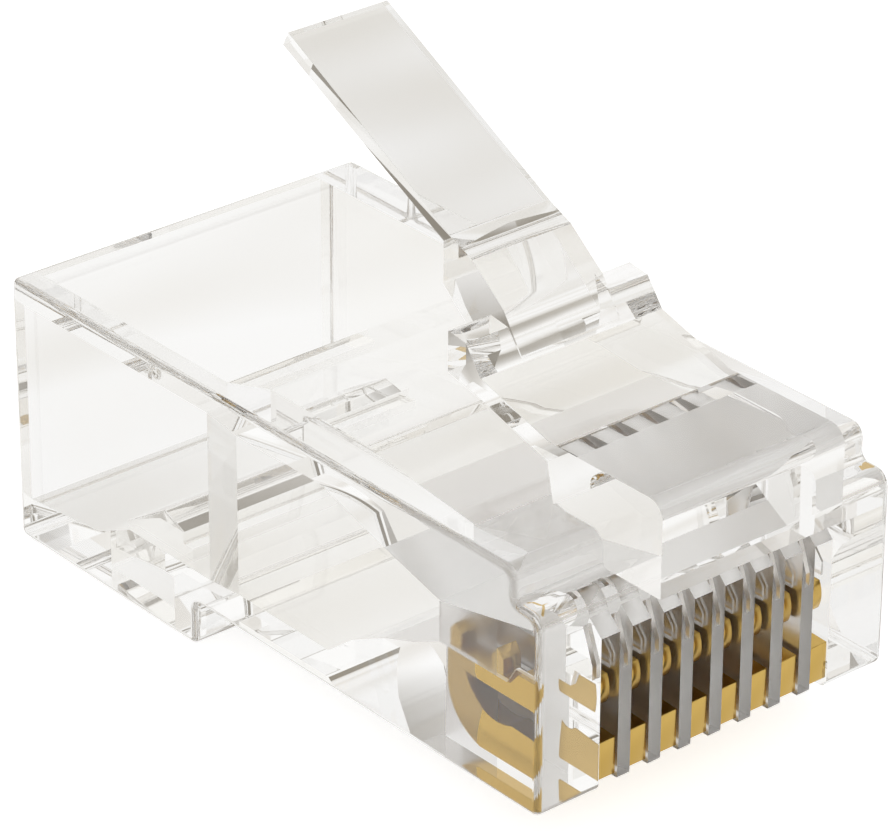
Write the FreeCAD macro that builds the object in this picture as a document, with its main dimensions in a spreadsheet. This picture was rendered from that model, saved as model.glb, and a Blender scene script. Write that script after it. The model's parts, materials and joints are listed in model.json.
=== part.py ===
import FreeCAD, Part
import os
import re
import Sketcher

# Eight-way modular plug. The nose faces -Y, the cable entry faces +Y, the latch stands on +Z.
# Inside each body lengths run back from the nose face and heights up from the rear underside.
doc = FreeCAD.newDocument("modular_plug")

# Sizes in millimetres
sheet = doc.addObject("Spreadsheet::Sheet", "Dims")
sheet.Label = "Dims"
SIZES = [
    ("body_width", "11.68", "outer width over the long sides"),
    ("body_height", "7.85", "rear underside to top face"),
    ("nose_length", "13.62", "nose face back to the step in the underside"),
    ("rear_length", "7.84", "step back to the cable entry face"),
    ("body_length", "=nose_length + rear_length", "nose face to cable entry face"),
    ("nose_rise", "1.3", "underside of the nose above the rear underside"),
    ("corner_round", "0.25", "rounding of the cross edges"),
    ("side_round", "0.2", "rounding around both long sides"),
    ("step_round", "0.3", "fillet inside the underside step"),
    ("ledge_depth", "0.95", "depth of the ledge along the top of the nose"),
    ("ledge_drop", "0.95", "top face down to the ledge"),
    ("ledge_height", "=body_height - ledge_drop", "rear underside up to the ledge"),
    ("ledge_round", "0.45", "rounding where the ledge wall meets the top face"),
    ("brim_round", "0.5", "rounding of the ledge's front edge"),
    ("root_width", "6", "width of latch root, slab and shoulders"),
    ("root_overhang", "1.11", "latch root in front of the nose face"),
    ("root_length", "2.8", "nose face back to the foot of the latch root"),
    ("root_rise", "1.65", "flat top of the latch root above the top face"),
    ("root_round", "0.5", "rounding of the root's top front edge"),
    ("bend_back", "3.04", "nose face back to where the slab starts to climb"),
    ("slab_angle", "15.6", "climb of the slab in degrees"),
    ("slab_thickness", "0.56", "thickness of the latch slab"),
    ("seam_back", "4", "nose face back to the flexing line of the slab"),
    ("slab_back", "5.54", "nose face back to the foot of the shoulder"),
    ("shoulder_run", "0.57", "slope in front of the shoulder, along the plug"),
    ("shoulder_rise", "0.75", "height of that slope"),
    ("shoulder_crown", "0.09", "further climb to the shoulder's rear corner"),
    ("shoulder_depth", "0.67", "thickness of the shoulder along the plug"),
    ("shoulder_back", "=slab_back + shoulder_run + shoulder_depth", "nose face to the locking face"),
    ("heel_rise", "2.06", "underside of the shoulder above the top face"),
    ("lever_width", "3.26", "width of the lever"),
    ("lever_front", "5.6", "nose face back to the front of the lever's base"),
    ("lever_foot", "2.5", "front edge of the lever's base above the top face"),
    ("brow_run", "0.7", "first slope of the lever's base, along the plug"),
    ("brow_rise", "1", "height of that slope"),
    ("cheek_run", "1.21", "second slope of the lever's base, along the plug"),
    ("cheek_rise", "0.93", "height of that slope"),
    ("knee_run", "0.79", "third slope of the lever's base, along the plug"),
    ("knee_rise", "0.33", "height of that slope"),
    ("blade_angle", "27.5", "climb of the lever's blade in degrees"),
    ("blade_length", "7.26", "knee to tip of the blade"),
    ("blade_sink", "0.22", "underside of the blade's root below the knee"),
    ("blade_thick", "0.46", "thickness of the blade at its tip"),
    ("hollow_run", "0.88", "underside slope behind the heel, along the plug"),
    ("hollow_rise", "0.53", "height of that slope"),
    ("calf_run", "0.93", "steeper underside slope, along the plug"),
    ("calf_rise", "0.76", "height of that slope"),
    ("root_top", "=body_height + root_rise", "height of the root's flat top"),
    ("slab_slope", "=tan(slab_angle * 1 deg)", "climb of the slab per millimetre"),
    ("slab_top", "=root_top + (slab_back - bend_back) * slab_slope", "slab top at the shoulder's foot"),
    ("seam_top", "=root_top + (seam_back - bend_back) * slab_slope", "slab top at the flexing line"),
    ("heel_height", "=body_height + heel_rise", "height of the shoulder's underside"),
    ("shoulder_top", "=slab_top + shoulder_rise + shoulder_crown", "height of the shoulder's rear corner"),
    ("knee_back", "=lever_front + brow_run + cheek_run + knee_run", "nose face back to the knee"),
    ("brow_height", "=body_height + lever_foot + brow_rise", "height of the brow"),
    ("knee_height", "=brow_height + cheek_rise + knee_rise", "height of the knee"),
    ("tip_back", "=knee_back + blade_length * cos(blade_angle * 1 deg)", "nose face back to the tip"),
    ("tip_height", "=knee_height + blade_length * sin(blade_angle * 1 deg)", "height of the tip"),
    ("calf_back", "=shoulder_back + hollow_run + calf_run", "nose face back to the rear of the base"),
    ("side_wall", "1.1", "wall beside the jacket cavity"),
    ("top_wall", "1", "wall over the jacket cavity"),
    ("mouth_floor", "0.95", "floor thickness at the cable entry"),
    ("hinge_floor", "1.25", "floor thickness at the strain-relief hinge"),
    ("rear_floor", "1.9", "floor thickness in front of the strain relief"),
    ("wall_lead", "0.12", "step to the rear end of the funnel"),
    ("funnel_inset", "0.8", "how far the funnel closes in on each side"),
    ("funnel_drop", "0.45", "how far the funnel's ceiling comes down"),
    ("funnel_dip", "0.2", "how far the funnel's floor goes down"),
    ("jacket_width", "=body_width - 2 * side_wall", "inside width for the cable jacket"),
    ("jacket_top", "=body_height - top_wall", "ceiling of the jacket cavity"),
    ("funnel_back", "=nose_length - wall_lead", "nose face to the rear end of the funnel"),
    ("funnel_front", "=funnel_back - funnel_inset", "nose face to the front end of the funnel"),
    ("core_width", "=jacket_width - 2 * funnel_inset", "inside width for the conductors"),
    ("core_top", "=jacket_top - funnel_drop", "ceiling of the conductor cavity"),
    ("core_floor", "=rear_floor - funnel_dip", "floor of the conductor cavity"),
    ("ramp_foot", "9", "nose face back to the foot of the floor ramp"),
    ("ramp_front", "4.6", "nose face back to the head of the ramps"),
    ("ramp_top", "3.95", "height of the wire channels' floor"),
    ("ceiling_height", "5.1", "ceiling of the wire channels at their rear"),
    ("ceiling_rise", "0.7", "climb of that ceiling towards the nose"),
    ("rib_top", "4.9", "top of the ribs between the wire channels"),
    ("channel_width", "0.86", "width of a wire channel"),
    ("channel_front", "0.36", "nose face back to the blind end of the channels"),
    ("channel_sill", "4.45", "floor of the channels near the nose"),
    ("sill_run", "1.4", "length of that floor"),
    ("sill_step", "0.3", "run of the slope from there down to the channels' floor"),
    ("end_height", "0.38", "height of the channels' blind end"),
    ("end_slope", "0.8", "run and climb of the slope above the blind end"),
    ("channel_top", "=ceiling_height", "ceiling of the wire channels at their rear"),
    ("contact_count", "8", "contacts side by side"),
    ("pitch", "1.016", "contact spacing"),
    ("blade_gauge", "0.56", "thickness of a contact"),
    ("slot_gap", "0.02", "clearance on each side of a contact"),
    ("slot_width", "=blade_gauge + 2 * slot_gap", "width of a contact slot"),
    ("slot_back", "4.4", "nose face back to the rear wall of the slots"),
    ("slot_roof", "5.63", "height of the slots' roof at the nose face"),
    ("roof_run", "0.97", "length of the slope of that roof"),
    ("roof_rise", "0.41", "climb of the roof along that slope"),
    ("roof_fall", "0.9", "run of the roof's fall behind its ridge"),
    ("comb_rise", "0.18", "ribs between the slots stop this far above the nose underside"),
    ("contact_inset", "0.05", "nose face back to the front of a contact's foot"),
    ("contact_recess", "0.3", "contact edge above the nose underside"),
    ("foot_height", "1.05", "height of a contact's foot at the front"),
    ("foot_run", "1.88", "length of the foot"),
    ("foot_climb", "0.09", "climb of the foot's top along its length"),
    ("throat_run", "1.77", "length of the hollow curve behind the foot"),
    ("throat_rise", "0.75", "height of that curve"),
    ("throat_bow_run", "1.5", "point the curve passes, along the plug"),
    ("throat_bow_rise", "0.3", "point the curve passes, height"),
    ("arm_inset", "0.3", "nose face back to the front of a contact's arm"),
    ("arm_height", "0.81", "height of the arm's nose"),
    ("arm_bulge", "0.1", "how far the arm's nose is crowned"),
    ("arm_nose", "1.4", "length of the arm's raised nose"),
    ("arm_slope", "0.3", "run of the slope behind the nose"),
    ("arm_top", "3.95", "top of the arm between the piercing points"),
    ("tine_length", "0.42", "length of a piercing point"),
    ("tine_pitch", "1.6", "distance between the two piercing points"),
    ("tine_rise", "0.7", "piercing point above the arm"),
    ("tine_bevel", "0.25", "height of the piercing bevel"),
    ("tail_gap", "0.03", "clearance behind a contact"),
    ("tail_run", "1.27", "length of the rounded rear lower corner"),
    ("tail_rise", "1.3", "height of that corner"),
    ("contact_edge", "=nose_rise + contact_recess", "height of a contact's lower edge"),
    ("foot_top", "=contact_edge + foot_height", "height of the foot's top at the front"),
    ("throat_back", "=contact_inset + foot_run + throat_run", "nose face back to the rear of the hollow"),
    ("throat_top", "=foot_top + foot_climb + throat_rise", "underside of the arm"),
    ("tine_top", "=arm_top + tine_rise", "height of the piercing points"),
    ("tail_back", "=slot_back - tail_gap", "nose face back to a contact's rear edge"),
    ("tine_front", "=tail_back - tine_length", "nose face back to the rear piercing point"),
    ("bar_hinge", "3.06", "cable entry face forward to the strain-relief hinge"),
    ("bar_length", "2.3", "hinge to the front face of the strain-relief bar"),
    ("bar_width", "7.2", "width of the strain-relief bar"),
    ("bar_gap", "0.12", "gap around the strain-relief bar"),
    ("bar_web", "0.7", "height of the bar's joint face at the hinge"),
    ("bar_rise", "0.85", "ridge of the bar above its hinge"),
    ("bar_ridge", "1.4", "hinge forward to the ridge"),
    ("bar_nose", "0.5", "front upper edge above the hinge"),
    ("bar_bottom", "0.42", "front lower edge below the hinge"),
    ("pocket_lead", "0.5", "recess in the underside in front of the bar"),
    ("pocket_height", "0.95", "height of that recess"),
]
for row, (alias, value, meaning) in enumerate(SIZES, start=1):
    sheet.set("A%d" % row, meaning)
    sheet.set("B%d" % row, value)
    sheet.setAlias("B%d" % row, alias)
doc.recompute()
CONTACT_COUNT = 8


def new_body(label, across="0"):
    """Body drawn back from the nose, set so that the whole plug is centred on the origin"""
    body = doc.addObject("PartDesign::Body", label)
    body.Label = label
    body.setExpression("Placement.Base.x", spelled(across))
    body.setExpression("Placement.Base.y", spelled("-(body_length - root_overhang) / 2"))
    doc.recompute()
    return body


def origin_part(body, role):
    """Plane or axis of the body's own origin"""
    matches = [part for part in body.Origin.OriginFeatures if part.Role == role]
    return matches[0]


def spelled(formula):
    """Formula with every size name pointed at the sheet"""
    names = {alias for alias, value, meaning in SIZES}
    return re.sub(r"[a-z_]+", lambda word: ("Dims." if word[0] in names else "") + word[0], formula)


def pin(sketch, geometry, end, across, up, name):
    """Hold one point of the sketch at a pair of formulas"""
    for kind, formula in (("DistanceX", across), ("DistanceY", up)):
        value = float(sketch.evalExpression(formula))
        label = name + kind
        held = sketch.addConstraint(Sketcher.Constraint(kind, -1, 1, geometry, end, value))
        sketch.renameConstraint(held, label)
        sketch.setExpression("Constraints." + label, formula)


def outline(body, label, corners, bows=None, role="YZ_Plane", offset="0"):
    """Closed outline through the corners, with a bow point where a side is an arc"""
    bows = bows or {}
    sketch = body.newObject("Sketcher::SketchObject", label)
    sketch.AttachmentSupport = [(origin_part(body, role), "")]
    sketch.MapMode = "FlatFace"
    sketch.setExpression("AttachmentOffset.Base.z", spelled(offset))
    formulas = [(spelled(across), spelled(up)) for across, up in corners]
    bow_formulas = {n: (spelled(across), spelled(up)) for n, (across, up) in bows.items()}

    def place(pair):
        return FreeCAD.Vector(*[float(sketch.evalExpression(item)) for item in pair], 0)

    points = [place(pair) for pair in formulas]
    ends = []
    for n, start in enumerate(points):
        finish = points[(n + 1) % len(points)]
        if n in bow_formulas:
            bow = place(bow_formulas[n])
            side = sketch.addGeometry(Part.Arc(start, bow, finish), False)
            first = 1 if sketch.getPoint(side, 1).distanceToPoint(start) < 1e-6 else 2
            ends.append((side, first, 3 - first))
        else:
            side = sketch.addGeometry(Part.LineSegment(start, finish), False)
            ends.append((side, 1, 2))
    for n, (side, first, last) in enumerate(ends):
        next_side, next_first, next_last = ends[(n + 1) % len(ends)]
        sketch.addConstraint(Sketcher.Constraint("Coincident", side, last, next_side, next_first))
    for n, (side, first, last) in enumerate(ends):
        pin(sketch, side, first, formulas[n][0], formulas[n][1], "corner%d" % n)
    for n, pair in bow_formulas.items():
        mark = sketch.addGeometry(Part.Point(place(pair)), True)
        sketch.addConstraint(Sketcher.Constraint("PointOnObject", mark, 1, ends[n][0]))
        pin(sketch, mark, 1, pair[0], pair[1], "bow%d" % n)
    doc.recompute()
    return sketch


def swept(body, kind, label, sketch, width):
    """Pad or pocket of an outline, spread evenly to both sides of its plane"""
    before = body.Shape.Volume if body.Tip else 0.0
    feature = body.newObject("PartDesign::" + kind, label)
    feature.Profile = sketch
    feature.SideType = "Symmetric"
    feature.setExpression("Length", spelled(width))
    sketch.Visibility = False
    doc.recompute()
    grown = feature.Shape.Volume > before
    if grown != (kind == "Pad"):
        raise ValueError(label + " changed the volume the wrong way")
    return feature


def repeated(body, label, feature):
    """Copies of a feature at the contact spacing"""
    pattern = body.newObject("PartDesign::LinearPattern", label)
    pattern.Originals = [feature]
    pattern.Direction = (origin_part(body, "X_Axis"), [""])
    pattern.Mode = "Spacing"
    pattern.setExpression("Offset", spelled("pitch"))
    pattern.Occurrences = CONTACT_COUNT
    body.Tip = pattern
    doc.recompute()
    return pattern


def rounded(body, label, radius, chosen):
    """Fillet of the edges that the test picks out"""
    base = body.Tip
    names = ["Edge%d" % n for n, edge in enumerate(base.Shape.Edges, start=1) if chosen(edge)]
    if not names:
        raise ValueError(label + " found no edge")
    feature = body.newObject("PartDesign::Fillet", label)
    feature.Base = (base, names)
    feature.setExpression("Radius", spelled(radius))
    doc.recompute()
    return feature


def size(name):
    """Present value of a size"""
    return float(sheet.get(name))


def cross_edge_at(*places):
    """Test for straight edges that run across the plug at one of the places"""
    def chosen(edge):
        box = edge.BoundBox
        flat = box.YLength < 1e-4 and box.ZLength < 1e-4
        return flat and any(
            abs(box.YMin - back) < 1e-3 and abs(box.ZMin - up) < 1e-3 for back, up in places
        )
    return chosen


# Housing: outer block with the ledge along the nose and the step in the underside
housing = new_body("housing")
block = outline(housing, "block_outline", [
    ("0", "nose_rise"),
    ("nose_length", "nose_rise"),
    ("nose_length", "0"),
    ("body_length", "0"),
    ("body_length", "body_height"),
    ("ledge_depth", "body_height"),
    ("ledge_depth", "ledge_height"),
    ("0", "ledge_height"),
])
swept(housing, "Pad", "block", block, "body_width")
rounded(housing, "ledge_rounding", "ledge_round", cross_edge_at(
    (size("ledge_depth"), size("body_height")),
))
rounded(housing, "brim_rounding", "brim_round", cross_edge_at(
    (0, size("ledge_height")),
))
rounded(housing, "step_fillet", "step_round", cross_edge_at(
    (size("nose_length"), size("nose_rise")),
))
rounded(housing, "cross_rounding", "corner_round", cross_edge_at(
    (0, size("nose_rise")),
    (size("nose_length"), 0),
    (size("body_length"), 0),
    (size("body_length"), size("body_height")),
))


def on_long_side(edge):
    """True for the edges around the two long side faces"""
    return all(abs(abs(end.X) - size("body_width") / 2) < 1e-4 for end in edge.Vertexes)


rounded(housing, "side_rounding", "side_round", on_long_side)

# Latch root: a block on the ledge that leans out over the nose and turns into the slab
root = outline(housing, "root_outline", [
    ("-root_overhang", "ledge_height"),
    ("root_length", "ledge_height"),
    ("root_length", "body_height"),
    ("bend_back", "root_top - slab_thickness"),
    ("seam_back", "seam_top - slab_thickness"),
    ("seam_back", "seam_top"),
    ("bend_back", "root_top"),
    ("-root_overhang", "root_top"),
])
swept(housing, "Pad", "root", root, "root_width")
rounded(housing, "root_rounding", "root_round", cross_edge_at(
    (-size("root_overhang"), size("root_top")),
))

# Jacket cavity: open at the cable entry, with a floor that climbs to the strain relief
jacket = outline(housing, "jacket_outline", [
    ("body_length + 1", "mouth_floor"),
    ("body_length + 1", "jacket_top"),
    ("funnel_back", "jacket_top"),
    ("funnel_back", "rear_floor"),
    ("body_length - bar_hinge - bar_ridge", "rear_floor"),
    ("body_length - bar_hinge", "hinge_floor"),
    ("body_length", "mouth_floor"),
])
swept(housing, "Pocket", "jacket_cavity", jacket, "jacket_width")

# Funnel: narrows the jacket cavity down to the conductor cavity
funnel_mouth = outline(housing, "funnel_mouth", [
    ("-jacket_width / 2", "rear_floor"),
    ("jacket_width / 2", "rear_floor"),
    ("jacket_width / 2", "jacket_top"),
    ("-jacket_width / 2", "jacket_top"),
], role="XZ_Plane", offset="-funnel_back")
funnel_throat = outline(housing, "funnel_throat", [
    ("-core_width / 2", "core_floor"),
    ("core_width / 2", "core_floor"),
    ("core_width / 2", "core_top"),
    ("-core_width / 2", "core_top"),
], role="XZ_Plane", offset="-funnel_front")
funnel = housing.newObject("PartDesign::SubtractiveLoft", "funnel")
funnel.Profile = funnel_mouth
funnel.Sections = [funnel_throat]
funnel.Ruled = True
doc.recompute()

# Conductor cavity: level floor, then floor and ceiling ramp together towards the wire channels
core = outline(housing, "core_outline", [
    ("funnel_front", "core_floor"),
    ("funnel_front", "core_top"),
    ("ramp_foot + 0.16", "core_top"),
    ("ramp_foot - 1.27", "core_top - 0.45"),
    ("ramp_foot - 2.23", "channel_top + 0.57"),
    ("ramp_front", "channel_top"),
    ("ramp_front", "ramp_top"),
    ("ramp_front + 1.01", "ramp_top - 0.48"),
    ("ramp_front + 2.15", "ramp_top - 0.88"),
    ("ramp_foot - 0.96", "core_floor + 0.74"),
    ("ramp_foot", "core_floor"),
])
swept(housing, "Pocket", "conductor_cavity", core, "core_width")

# Wire channels: eight blind channels that run forward over the contacts, to a sloped end
channel = outline(housing, "channel_outline", [
    ("channel_front", "channel_sill"),
    ("channel_front + sill_run", "channel_sill"),
    ("channel_front + sill_run + sill_step", "ramp_top"),
    ("ramp_front + 0.01", "ramp_top"),
    ("ramp_front + 0.01", "channel_top"),
    ("channel_front + end_slope", "channel_top + ceiling_rise"),
    ("channel_front", "channel_sill + end_height"),
], offset="-(contact_count - 1) / 2 * pitch")
first_channel = swept(housing, "Pocket", "channel", channel, "channel_width")
repeated(housing, "channels", first_channel)

# Headroom: one low space over the channels, so that only their floors are parted by ribs
headroom = outline(housing, "headroom_outline", [
    ("channel_front + end_slope", "rib_top"),
    ("ramp_front + 0.01", "rib_top"),
    ("ramp_front + 0.01", "channel_top"),
    ("channel_front + end_slope", "channel_top + ceiling_rise"),
])
swept(housing, "Pocket", "headroom", headroom, "(contact_count - 1) * pitch + channel_width")

# Contact slots: open to the nose face and the underside, with a roof that climbs behind the face
slot = outline(housing, "slot_outline", [
    ("-1", "0"),
    ("slot_back", "0"),
    ("slot_back", "channel_top"),
    ("roof_run + roof_fall", "channel_top"),
    ("roof_run", "slot_roof + roof_rise"),
    ("0", "slot_roof"),
    ("-1", "slot_roof"),
], offset="-(contact_count - 1) / 2 * pitch")
first_slot = swept(housing, "Pocket", "slot", slot, "slot_width")
repeated(housing, "slots", first_slot)
comb = outline(housing, "comb_outline", [
    ("-1", "0"),
    ("slot_back", "0"),
    ("slot_back", "nose_rise + comb_rise"),
    ("-1", "nose_rise + comb_rise"),
])
swept(housing, "Pocket", "comb_relief", comb, "(contact_count - 1) * pitch + slot_width")

# Window in the rear floor for the strain-relief bar, with a recess in the underside ahead of it
window = outline(housing, "window_outline", [
    ("body_length - bar_hinge", "-1"),
    ("body_length - bar_hinge", "rear_floor + 1"),
    ("body_length - bar_hinge - bar_length - bar_gap", "rear_floor + 1"),
    ("body_length - bar_hinge - bar_length - bar_gap", "pocket_height"),
    ("body_length - bar_hinge - bar_length - pocket_lead", "pocket_height"),
    ("body_length - bar_hinge - bar_length - pocket_lead", "-1"),
])
swept(housing, "Pocket", "window", window, "bar_width + 2 * bar_gap")

# Latch: springy slab, locking shoulders and the lever that stands up from them
latch = new_body("latch")
slab = outline(latch, "slab_outline", [
    ("seam_back", "seam_top - slab_thickness"),
    ("slab_back", "slab_top - slab_thickness"),
    ("shoulder_back", "heel_height"),
    ("shoulder_back", "shoulder_top"),
    ("slab_back + shoulder_run", "slab_top + shoulder_rise"),
    ("slab_back", "slab_top"),
    ("seam_back", "seam_top"),
])
swept(latch, "Pad", "slab", slab, "root_width")
lever = outline(latch, "lever_outline", [
    ("lever_front", "heel_height"),
    ("shoulder_back", "heel_height"),
    ("shoulder_back + hollow_run", "heel_height + hollow_rise"),
    ("calf_back", "heel_height + hollow_rise + calf_rise"),
    ("calf_back", "knee_height - blade_sink"),
    ("tip_back + blade_thick * sin(blade_angle * 1 deg)", "tip_height - blade_thick * cos(blade_angle * 1 deg)"),
    ("tip_back", "tip_height"),
    ("knee_back", "knee_height"),
    ("knee_back - knee_run", "knee_height - knee_rise"),
    ("lever_front + brow_run", "brow_height"),
    ("lever_front", "body_height + lever_foot"),
])
swept(latch, "Pad", "lever", lever, "lever_width")

# Strain-relief bar: hangs in its window and swings up into the cable jacket
bar = new_body("strain_relief")
wedge = outline(bar, "bar_outline", [
    ("body_length - bar_hinge", "hinge_floor"),
    ("body_length - bar_hinge - bar_ridge", "hinge_floor + bar_rise"),
    ("body_length - bar_hinge - bar_length", "hinge_floor + bar_nose"),
    ("body_length - bar_hinge - bar_length", "hinge_floor - bar_bottom"),
    ("body_length - bar_hinge", "hinge_floor - bar_web"),
])
swept(bar, "Pad", "wedge", wedge, "bar_width")

# Contacts: one flat stamping each, with a foot below, a crowned arm above and two piercing points
contacts = []
for number in range(1, CONTACT_COUNT + 1):
    contact = new_body("contact_%d" % number, "(%d - (contact_count + 1) / 2) * pitch" % number)
    stamping = outline(contact, "stamping_%d" % number, [
        ("contact_inset", "contact_edge"),
        ("tail_back - tail_run", "contact_edge"),
        ("tail_back", "contact_edge + tail_rise"),
        ("tail_back", "tine_top - tine_bevel"),
        ("tail_back - tine_length / 2", "tine_top"),
        ("tine_front", "tine_top - tine_bevel"),
        ("tine_front", "arm_top"),
        ("tail_back - tine_pitch", "arm_top"),
        ("tail_back - tine_pitch", "tine_top - tine_bevel"),
        ("tail_back - tine_pitch - tine_length / 2", "tine_top"),
        ("tine_front - tine_pitch", "tine_top - tine_bevel"),
        ("tine_front - tine_pitch", "arm_top"),
        ("arm_inset + arm_nose + arm_slope", "arm_top"),
        ("arm_inset + arm_nose", "throat_top + arm_height"),
        ("arm_inset + arm_bulge", "throat_top + arm_height"),
        ("arm_inset + arm_bulge", "throat_top"),
        ("throat_back", "throat_top"),
        ("contact_inset + foot_run", "foot_top + foot_climb"),
        ("contact_inset", "foot_top"),
    ], bows={
        1: ("tail_back - tail_run * 0.3", "contact_edge + tail_rise * 0.35"),
        14: ("arm_inset", "throat_top + arm_height / 2"),
        16: ("contact_inset + foot_run + throat_bow_run", "foot_top + foot_climb + throat_bow_rise"),
    })
    swept(contact, "Pad", "blade_%d" % number, stamping, "blade_gauge")
    contacts.append(contact)

# Check every object, then write one file per piece
for item in doc.Objects:
    if "Invalid" in item.State or "Error" in item.State:
        raise ValueError(item.Label + " did not build")
pieces = [housing, latch, bar] + contacts
os.makedirs("parts", exist_ok=True)
for piece in pieces:
    if piece.Shape.isNull() or not piece.Shape.isValid():
        raise ValueError(piece.Label + " has no valid shape")
    if len(piece.Shape.Solids) != 1:
        raise ValueError(piece.Label + " is not one solid")
    piece.Shape.exportStep(os.path.join("parts", piece.Label + ".step"))
    print(piece.Label, round(piece.Shape.Volume, 3), piece.Shape.BoundBox)
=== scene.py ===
import json
import math

import bpy
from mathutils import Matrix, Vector

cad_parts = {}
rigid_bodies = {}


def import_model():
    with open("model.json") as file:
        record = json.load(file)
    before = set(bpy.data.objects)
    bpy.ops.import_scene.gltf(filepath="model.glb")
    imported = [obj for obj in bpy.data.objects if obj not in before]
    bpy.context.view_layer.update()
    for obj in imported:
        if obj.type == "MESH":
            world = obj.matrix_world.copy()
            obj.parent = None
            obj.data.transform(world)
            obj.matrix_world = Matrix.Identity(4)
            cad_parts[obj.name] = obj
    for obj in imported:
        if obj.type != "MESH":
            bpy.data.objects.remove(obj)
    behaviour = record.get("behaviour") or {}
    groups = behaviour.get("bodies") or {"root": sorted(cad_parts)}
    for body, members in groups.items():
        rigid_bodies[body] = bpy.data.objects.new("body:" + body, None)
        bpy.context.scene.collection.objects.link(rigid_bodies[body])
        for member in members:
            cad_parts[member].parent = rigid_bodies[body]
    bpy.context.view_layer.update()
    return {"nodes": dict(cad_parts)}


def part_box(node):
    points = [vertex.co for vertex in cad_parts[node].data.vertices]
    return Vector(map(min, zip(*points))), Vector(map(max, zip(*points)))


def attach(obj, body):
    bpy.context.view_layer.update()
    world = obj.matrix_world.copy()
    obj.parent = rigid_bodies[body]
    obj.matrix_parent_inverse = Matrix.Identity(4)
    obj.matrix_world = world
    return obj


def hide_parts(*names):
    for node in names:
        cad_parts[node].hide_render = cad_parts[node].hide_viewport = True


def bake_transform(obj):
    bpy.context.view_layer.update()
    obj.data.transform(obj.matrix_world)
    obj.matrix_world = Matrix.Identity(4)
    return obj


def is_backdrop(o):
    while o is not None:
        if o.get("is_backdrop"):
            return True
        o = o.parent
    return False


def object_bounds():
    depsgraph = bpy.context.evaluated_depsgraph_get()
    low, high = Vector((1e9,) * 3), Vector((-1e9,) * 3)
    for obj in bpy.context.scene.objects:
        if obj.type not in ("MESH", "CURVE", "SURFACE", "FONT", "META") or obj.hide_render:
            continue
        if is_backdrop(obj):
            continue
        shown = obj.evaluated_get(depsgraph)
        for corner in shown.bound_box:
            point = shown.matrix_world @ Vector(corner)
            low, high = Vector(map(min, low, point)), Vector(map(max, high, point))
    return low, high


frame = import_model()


# Clear moulding: the housing and its latch are one shot of polycarbonate from a polished steel
# mould, so they are drawn as one piece, joined across the thin slab that the latch grows from.
MM = 0.001
MERGE_GAP = 0.0005 * MM
SEAM_SLACK = 0.001 * MM
SEAM_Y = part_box("latch")[0].y
MOULD_RADIUS = 0.05 * MM

# The turn between two faces under which they are one flat, look smooth together, or keep the edge
# between them as it is
FLAT_TURN = math.radians(0.5)
SMOOTH_TURN = math.radians(35)
MOULD_TURN = math.radians(25)


def only(*objects):
    """Select just these objects, with the first one active"""
    bpy.ops.object.select_all(action="DESELECT")
    for item in objects:
        item.select_set(True)
    bpy.context.view_layer.objects.active = objects[0]


def own_copy(name, *nodes):
    """One merged mesh copied from CAD nodes, free of their bodies"""
    only(*[frame["nodes"][node] for node in nodes])
    bpy.ops.object.duplicate()
    if len(nodes) > 1:
        bpy.ops.object.join()
    piece = bpy.context.view_layer.objects.active
    piece.name = name
    piece.data.name = name
    piece.data.materials.clear()
    bpy.ops.object.parent_clear(type="CLEAR_KEEP_TRANSFORM")
    bpy.ops.object.mode_set(mode="EDIT")
    bpy.ops.mesh.select_all(action="SELECT")
    bpy.ops.mesh.remove_doubles(threshold=MERGE_GAP)
    bpy.ops.mesh.select_all(action="DESELECT")
    bpy.ops.object.mode_set(mode="OBJECT")
    return piece


def pick_faces(piece, wanted):
    """Select the faces for which wanted(face) holds, and go into edit mode"""
    for face in piece.data.polygons:
        face.select = wanted(face)
    bpy.ops.object.mode_set(mode="EDIT")
    bpy.ops.mesh.select_mode(type="FACE")


def join_flats():
    """Turn each flat area's triangles into one face, and leave edit mode"""
    bpy.ops.object.mode_set(mode="EDIT")
    bpy.ops.mesh.select_all(action="SELECT")
    bpy.ops.mesh.dissolve_limited(angle_limit=FLAT_TURN)
    bpy.ops.object.mode_set(mode="OBJECT")


def cut_across(y):
    """In edit mode, cut the selected faces along a plane across the plug, and leave edit mode"""
    bpy.ops.mesh.bisect(plane_co=(0, y, 0), plane_no=(0, 1, 0))
    bpy.ops.object.mode_set(mode="OBJECT")


def round_edges(piece, name, radius, turn):
    """Round the edges that turn more than this, and keep the flat faces flat to the light"""
    rounding = piece.modifiers.new(name, "BEVEL")
    rounding.width = radius
    rounding.segments = 2
    rounding.limit_method = "ANGLE"
    rounding.angle_limit = turn
    bpy.ops.object.modifier_apply(modifier=rounding.name)
    bpy.ops.object.shade_smooth_by_angle(angle=SMOOTH_TURN)
    flats = piece.modifiers.new("flat_faces", "WEIGHTED_NORMAL")
    flats.weight = 100
    flats.keep_sharp = True
    bpy.ops.object.modifier_apply(modifier=flats.name)


def linear(hex_colour):
    """The linear colour that a socket takes for an sRGB hex value"""
    channels = [int(hex_colour[place:place + 2], 16) / 255 for place in (1, 3, 5)]
    lights = [
        channel / 12.92 if channel <= 0.04045 else ((channel + 0.055) / 1.055) ** 2.4
        for channel in channels
    ]
    return (*lights, 1.0)


def add_node(tree, kind, settings=None, links=None):
    """New node with its settings, and links into its sockets from other nodes' outputs"""
    node = tree.nodes.new(kind)
    for name, value in (settings or {}).items():
        if isinstance(name, int) or name in node.inputs:
            node.inputs[name].default_value = value
        else:
            setattr(node, name, value)
    for name, output in (links or {}).items():
        tree.links.new(output, node.inputs[name])
    return node


def new_material(name):
    """Empty node material and its tree"""
    material = bpy.data.materials.new(name)
    material.use_nodes = True
    material.node_tree.nodes.clear()
    return material, material.node_tree


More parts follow.
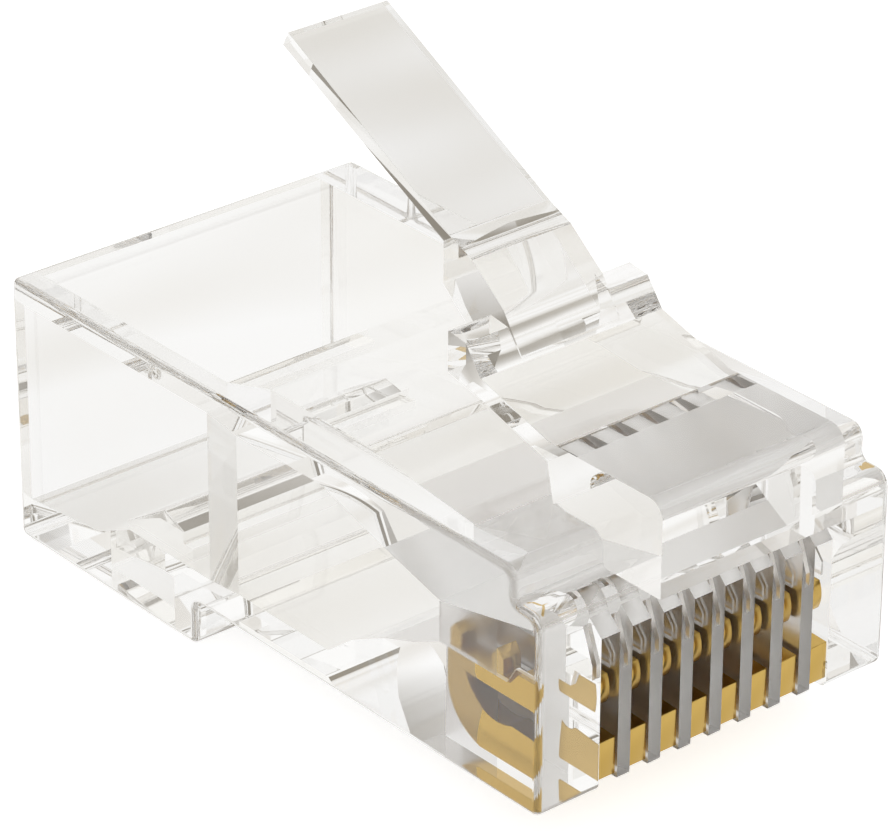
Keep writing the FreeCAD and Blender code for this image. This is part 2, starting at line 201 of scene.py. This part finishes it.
# Core of the nose: the channels, the slots and the room over them, as far round the row of
# contacts as these values say. Its end walls are polished up to where the satin starts.
ROW_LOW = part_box("contact_1")[0]
ROW_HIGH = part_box("contact_8")[1]
CORE_SIDE = 0.6 * MM
CORE_BACK = 2.5 * MM
CORE_TOP = 2.0 * MM
CORE_DROP = 0.25 * MM
POLISHED_RUN = 2.4 * MM
SATIN_START = ROW_LOW.y + POLISHED_RUN
UPRIGHT = 0.9


def in_core(face):
    """True for a face of the channels, the slots or the room over them"""
    return (
        ROW_LOW.x - CORE_SIDE < face.center.x < ROW_HIGH.x + CORE_SIDE
        and ROW_LOW.y < face.center.y < ROW_HIGH.y + CORE_BACK
        and ROW_LOW.z - CORE_DROP < face.center.z < ROW_HIGH.z + CORE_TOP
    )


def is_end_wall(face):
    """True for an upright wall outside the row of contacts"""
    return abs(face.normal.x) > UPRIGHT and not ROW_LOW.x < face.center.x < ROW_HIGH.x


moulding = own_copy("clear_moulding", "housing", "latch")
pick_faces(moulding, lambda face: all(
    abs(moulding.data.vertices[corner].co.y - SEAM_Y) < SEAM_SLACK for corner in face.vertices
))
bpy.ops.mesh.delete(type="ONLY_FACE")
join_flats()
pick_faces(moulding, lambda face: in_core(face) and is_end_wall(face))
cut_across(SATIN_START)
round_edges(moulding, "mould_radius", MOULD_RADIUS, MOULD_TURN)

# Polycarbonate against polished steel: glass-clear and sharp, with the faint straw tint and the
# cloudy flow of the shot seen only where the light goes a long way through it
POLYCARBONATE_IOR = 1.586
FLOW_MARK = 4 * MM
polycarbonate, tree = new_material("polished_clear_polycarbonate")
place = add_node(tree, "ShaderNodeTexCoord")
flow = add_node(tree, "ShaderNodeTexNoise", {
    "Scale": 1 / FLOW_MARK,
    "Detail": 2.0,
}, {"Vector": place.outputs["Object"]})
tint = add_node(tree, "ShaderNodeMixRGB", {
    "Color1": linear("#fcfbf8"),
    "Color2": linear("#ffffff"),
}, {"Fac": flow.outputs["Fac"]})
clear = add_node(tree, "ShaderNodeBsdfPrincipled", {
    "Roughness": 0.0,
    "Transmission Weight": 1.0,
    "IOR": POLYCARBONATE_IOR,
}, {"Base Color": tint.outputs["Color"]})
add_node(tree, "ShaderNodeOutputMaterial", {}, {"Surface": clear.outputs["BSDF"]})
moulding.data.materials.append(polycarbonate)

# Polycarbonate against spark-eroded steel, in the core of the nose: a satin skin that turns the
# ribs between the contacts a soft grey
ERODED_PIT = 0.05 * MM
FINE_SATIN = 0.24
COARSE_SATIN = 0.40
satin, tree = new_material("spark_eroded_polycarbonate")
place = add_node(tree, "ShaderNodeTexCoord")
pits = add_node(tree, "ShaderNodeTexNoise", {
    "Scale": 1 / ERODED_PIT,
    "Detail": 2.0,
}, {"Vector": place.outputs["Object"]})
skin = add_node(tree, "ShaderNodeMapRange", {
    "To Min": FINE_SATIN,
    "To Max": COARSE_SATIN,
}, {"Value": pits.outputs["Fac"]})
frosted = add_node(tree, "ShaderNodeBsdfPrincipled", {
    "Base Color": linear("#f6f3f0"),
    "Transmission Weight": 1.0,
    "IOR": POLYCARBONATE_IOR,
}, {"Roughness": skin.outputs["Result"]})
add_node(tree, "ShaderNodeOutputMaterial", {}, {"Surface": frosted.outputs["BSDF"]})
moulding.data.materials.append(satin)

only(moulding)
pick_faces(moulding, lambda face: in_core(face) and (
    face.center.y > SATIN_START or not is_end_wall(face)
))
moulding.active_material_index = 1
bpy.ops.object.material_slot_assign()
bpy.ops.object.mode_set(mode="OBJECT")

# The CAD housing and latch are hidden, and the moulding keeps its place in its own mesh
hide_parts("housing", "latch")
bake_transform(moulding)


# Strain-relief bar: a short bar in the floor of the cable entry, cast in the same shot of
# polycarbonate, and hung on a thin web that folds when the crimping tool drives the bar in. A
# hairline gap at the web lets the light through as in one moulding.
WEB_GAP = 0.03 * MM
HINGE_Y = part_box("strain_relief")[1].y


def pick_corners(piece, wanted):
    """Select the corners for which wanted(place) holds, and go into edit mode"""
    for corner in piece.data.vertices:
        corner.select = wanted(corner.co)
    bpy.ops.object.mode_set(mode="EDIT")
    bpy.ops.mesh.select_mode(type="VERT")


bar = own_copy("strain_relief_bar", "strain_relief")
join_flats()
pick_corners(bar, lambda place: place.y > HINGE_Y - WEB_GAP)
bpy.ops.transform.translate(value=(0, -WEB_GAP, 0))
bpy.ops.object.mode_set(mode="OBJECT")
round_edges(bar, "mould_radius", MOULD_RADIUS, MOULD_TURN)
bar.data.materials.append(polycarbonate)
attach(bar, "relief_bar")
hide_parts("strain_relief")

# Contacts: eight flat blades stamped from phosphor bronze strip, gold plated over nickel and
# pressed into the slots. The outer side of each outermost blade bears on the end wall, over a
# short run from the front, and shows through it.
OUTWARD = {1: -1, 8: 1}
END_GRIP = 0.03 * MM
GRIP_RUN = 2.7 * MM
GRIP_FADE = 0.25 * MM
BURR = 0.02 * MM
BURR_TURN = math.radians(35)

# Bright gold plate: a warm yellow mirror, drawn out a little along the blade by the stamping. The
# grain is drawn coarser than the real one, to show.
GRAIN_WIDTH = 0.05 * MM
GRAIN_PULL = (1.0, 1.0, 0.15)
gold, tree = new_material("gold_plated_phosphor_bronze")
place = add_node(tree, "ShaderNodeTexCoord")
drawn = add_node(tree, "ShaderNodeMapping", {
    "Scale": GRAIN_PULL,
}, {"Vector": place.outputs["Object"]})
grain = add_node(tree, "ShaderNodeTexNoise", {
    "Scale": 1 / GRAIN_WIDTH,
    "Detail": 2.0,
}, {"Vector": drawn.outputs["Vector"]})
sheen = add_node(tree, "ShaderNodeMapRange", {
    "To Min": 0.12,
    "To Max": 0.24,
}, {"Value": grain.outputs["Fac"]})
plate = add_node(tree, "ShaderNodeBsdfPrincipled", {
    "Base Color": linear("#d2b062"),
    "Metallic": 1.0,
}, {"Roughness": sheen.outputs["Result"]})
add_node(tree, "ShaderNodeOutputMaterial", {}, {"Surface": plate.outputs["BSDF"]})

for number in range(1, 9):
    node = "contact_%d" % number
    low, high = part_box(node)
    middle = (low.x + high.x) / 2
    blade = own_copy("contact_blade_%d" % number, node)
    join_flats()
    if number in OUTWARD:
        outward = OUTWARD[number]
        grip_end = low.y + GRIP_RUN
        for cut in (grip_end, grip_end + GRIP_FADE):
            bpy.ops.object.mode_set(mode="EDIT")
            bpy.ops.mesh.select_all(action="SELECT")
            cut_across(cut)
        pick_corners(blade, lambda place: (
            (place.x - middle) * outward > 0 and place.y < grip_end + GRIP_FADE / 2
        ))
        bpy.ops.transform.translate(value=(outward * END_GRIP, 0, 0))
        bpy.ops.object.mode_set(mode="OBJECT")
    round_edges(blade, "stamped_edge", BURR, BURR_TURN)
    blade.data.materials.append(gold)
    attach(blade, "plug")
    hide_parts(node)

# Floor: a wide sheet of matt white card under the plug. The picture shows it white with the plug's
# shadow.
# The gold and the plastic see painted shadow bands on it, and painted shade towards a far rim.
FLOOR_SIZE = 4.0
CARD_THICKNESS = 1 * MM
CARD_DROP = 0.03 * MM
bpy.ops.object.select_all(action="DESELECT")
bpy.ops.mesh.primitive_plane_add(size=FLOOR_SIZE, location=(0, 0, 0))
floor = bpy.context.view_layer.objects.active
floor.name = "floor"
bpy.ops.object.mode_set(mode="EDIT")
bpy.ops.mesh.select_all(action="SELECT")
bpy.ops.transform.translate(value=(0, 0, -CARD_DROP - CARD_THICKNESS))
bpy.ops.mesh.extrude_region_move(TRANSFORM_OT_translate={"value": (0, 0, CARD_THICKNESS)})
bpy.ops.mesh.select_all(action="SELECT")
bpy.ops.mesh.normals_make_consistent(inside=False)
bpy.ops.object.mode_set(mode="OBJECT")

# Matt card: white in the picture and shaded by what stands on it; through plastic, painted shadow
# bands and painted rim shade
PICTURE_LIFT = 0.72
PAINTED_SHADE_SHARE = 0.9
BAND = 9 * MM
BAND_PULL = (0.3, 1.0, 1.0)
BAND_START = 0.35
BAND_END = 0.52
RIM_START = 72 * MM
RIM_END = 98 * MM
card, tree = new_material("matt_white_card")
path = add_node(tree, "ShaderNodeLightPath")
seen = add_node(tree, "ShaderNodeMath", {
    "operation": "MULTIPLY",
    1: PICTURE_LIFT,
}, {0: path.outputs["Is Camera Ray"]})
mirrored = add_node(tree, "ShaderNodeMath", {"operation": "MAXIMUM"}, {
    0: path.outputs["Is Glossy Ray"],
    1: path.outputs["Is Transmission Ray"],
})
share = add_node(tree, "ShaderNodeMath", {
    "operation": "MULTIPLY",
    1: PAINTED_SHADE_SHARE,
}, {0: mirrored.outputs["Value"]})
matt = add_node(tree, "ShaderNodeBsdfDiffuse", {"Color": linear("#f4f4f4")})
white = add_node(tree, "ShaderNodeEmission", {}, {"Strength": seen.outputs["Value"]})
shaded = add_node(tree, "ShaderNodeAddShader", {}, {
    0: matt.outputs["BSDF"],
    1: white.outputs["Emission"],
})
place = add_node(tree, "ShaderNodeTexCoord")
along = add_node(tree, "ShaderNodeMapping", {
    "Scale": BAND_PULL,
}, {"Vector": place.outputs["Object"]})
cloud = add_node(tree, "ShaderNodeTexNoise", {
    "Scale": 1 / BAND,
    "Detail": 1.0,
}, {"Vector": along.outputs["Vector"]})
soft = add_node(tree, "ShaderNodeMapRange", {
    "From Min": BAND_START,
    "From Max": BAND_END,
}, {"Value": cloud.outputs["Fac"]})
# Painted shadow: soft grey bands that stand in for the plug's shadow on the card
painted_shadow_bands = add_node(tree, "ShaderNodeMixRGB", {
    "Color1": linear("#f0eeea"),
    "Color2": linear("#ffffff"),
}, {"Fac": soft.outputs["Result"]})
# Painted shade: the card grows darker towards its far rim, as the gold and the plastic see it
reach = add_node(tree, "ShaderNodeVectorMath", {
    "operation": "LENGTH",
}, {0: place.outputs["Object"]})
far = add_node(tree, "ShaderNodeMapRange", {
    "From Min": RIM_START,
    "From Max": RIM_END,
}, {"Value": reach.outputs["Value"]})
painted_rim_shade = add_node(tree, "ShaderNodeMixRGB", {
    "Color2": linear("#b9b4ab"),
}, {"Fac": far.outputs["Result"], "Color1": painted_shadow_bands.outputs["Color"]})
# Painted glow: the gold and the plastic see the card as this emission, with its painted shadow
# bands and painted rim shade, in place of its real shading
painted_shade_glow = add_node(tree, "ShaderNodeEmission", {"Strength": 1.0}, {"Color": painted_rim_shade.outputs["Color"]})
either = add_node(tree, "ShaderNodeMixShader", {}, {
    "Fac": share.outputs["Value"],
    1: shaded.outputs["Shader"],
    2: painted_shade_glow.outputs["Emission"],
})
add_node(tree, "ShaderNodeOutputMaterial", {}, {"Surface": either.outputs["Shader"]})
floor.data.materials.append(card)
floor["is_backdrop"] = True

# Light tent: a dome of white cloth over the plug, lit from outside. Grey cards hang on its four
# sides and at its top and its hem is darker, and these draw the edges of the clear plastic.
TENT_RADIUS = 100 * MM
TENT_FOOT = -1 * MM
bpy.ops.object.select_all(action="DESELECT")
bpy.ops.mesh.primitive_uv_sphere_add(segments=64, ring_count=32, radius=TENT_RADIUS)
tent = bpy.context.view_layer.objects.active
tent.name = "light_tent"
tent.visible_camera = False
bpy.ops.object.mode_set(mode="EDIT")
bpy.ops.mesh.select_all(action="SELECT")
bpy.ops.mesh.bisect(plane_co=(0, 0, TENT_FOOT), plane_no=(0, 0, 1), clear_inner=True)
bpy.ops.mesh.select_all(action="SELECT")
bpy.ops.mesh.flip_normals()
bpy.ops.object.mode_set(mode="OBJECT")

# Lit cloth: an even white glow with soft folds, darker where a card hangs and at the hem. The
# places of the cards and the hem are given as shares of the tent's radius.
CARD_EDGE = 0.78
CARD_FULL = 0.84
HEM_TOP = 0.20
HEM_FULL = 0.05
DRAPE = 16 * MM
DRAPE_PULL = (0.5, 1.0, 1.0)
FOLD_START = 0.38
FOLD_END = 0.52
cloth, tree = new_material("white_tent_cloth")
place = add_node(tree, "ShaderNodeTexCoord")
unit = add_node(tree, "ShaderNodeVectorMath", {
    "operation": "NORMALIZE",
}, {0: place.outputs["Object"]})
sides = add_node(tree, "ShaderNodeVectorMath", {
    "operation": "ABSOLUTE",
}, {0: unit.outputs["Vector"]})
parts = add_node(tree, "ShaderNodeSeparateXYZ", {}, {"Vector": sides.outputs["Vector"]})
wide = add_node(tree, "ShaderNodeMath", {"operation": "MAXIMUM"}, {
    0: parts.outputs["X"],
    1: parts.outputs["Y"],
})
widest = add_node(tree, "ShaderNodeMath", {"operation": "MAXIMUM"}, {
    0: wide.outputs["Value"],
    1: parts.outputs["Z"],
})
hung = add_node(tree, "ShaderNodeMapRange", {
    "From Min": CARD_EDGE,
    "From Max": CARD_FULL,
}, {"Value": widest.outputs["Value"]})
hem = add_node(tree, "ShaderNodeMapRange", {
    "From Min": HEM_TOP,
    "From Max": HEM_FULL,
}, {"Value": parts.outputs["Z"]})
along = add_node(tree, "ShaderNodeMapping", {
    "Scale": DRAPE_PULL,
}, {"Vector": place.outputs["Object"]})
cloud = add_node(tree, "ShaderNodeTexNoise", {
    "Scale": 1 / DRAPE,
    "Detail": 1.0,
}, {"Vector": along.outputs["Vector"]})
soft = add_node(tree, "ShaderNodeMapRange", {
    "From Min": FOLD_START,
    "From Max": FOLD_END,
}, {"Value": cloud.outputs["Fac"]})
folds = add_node(tree, "ShaderNodeMixRGB", {
    "Color1": linear("#e9e6e1"),
    "Color2": linear("#ffffff"),
}, {"Fac": soft.outputs["Result"]})
shade = add_node(tree, "ShaderNodeMixRGB", {
    "Color2": linear("#b9b4ab"),
}, {"Fac": hem.outputs["Result"], "Color1": folds.outputs["Color"]})
cards = add_node(tree, "ShaderNodeMixRGB", {
    "Color2": linear("#857e72"),
}, {"Fac": hung.outputs["Result"], "Color1": shade.outputs["Color"]})
light = add_node(tree, "ShaderNodeEmission", {"Strength": 1.0}, {"Color": cards.outputs["Color"]})
add_node(tree, "ShaderNodeOutputMaterial", {}, {"Surface": light.outputs["Emission"]})
tent.data.materials.append(cloth)
tent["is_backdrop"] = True

# Studio: plain white walls behind the card
world = bpy.data.worlds.new("studio")
bpy.context.scene.world = world
world.use_nodes = True
tree = world.node_tree
tree.nodes.clear()
walls = add_node(tree, "ShaderNodeBackground", {"Color": linear("#ffffff"), "Strength": 1.0})
add_node(tree, "ShaderNodeOutputWorld", {}, {"Surface": walls.outputs["Background"]})

# Camera: a long lens that looks down on the front left corner of the nose
AZIMUTH = math.radians(-39.676)
ELEVATION = math.radians(28.015)
CAMERA_PLACE = Vector((-72.493, -85.548, 65.532)) * MM
back = Vector((
    math.sin(AZIMUTH) * math.cos(ELEVATION),
    -math.cos(AZIMUTH) * math.cos(ELEVATION),
    math.sin(ELEVATION),
))
camera_data = bpy.data.cameras.new("camera")
camera_data.sensor_width = 36
camera_data.lens = 197.24
camera_data.shift_x = 0.0469
camera_data.shift_y = 0.0150
camera_data.clip_start = 0.01
camera_data.clip_end = 10
camera = bpy.data.objects.new("camera", camera_data)
bpy.context.scene.collection.objects.link(camera)
camera.location = CAMERA_PLACE
camera.rotation_euler = (-back).to_track_quat("-Z", "Y").to_euler()
bpy.context.scene.camera = camera

# Picture: colours as written, and enough bounces for light to cross the clear plastic
BOUNCES = 64
scene = bpy.context.scene
scene.view_settings.view_transform = "Standard"
scene.cycles.max_bounces = BOUNCES
scene.cycles.transmission_bounces = BOUNCES
scene.cycles.glossy_bounces = BOUNCES

low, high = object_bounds()
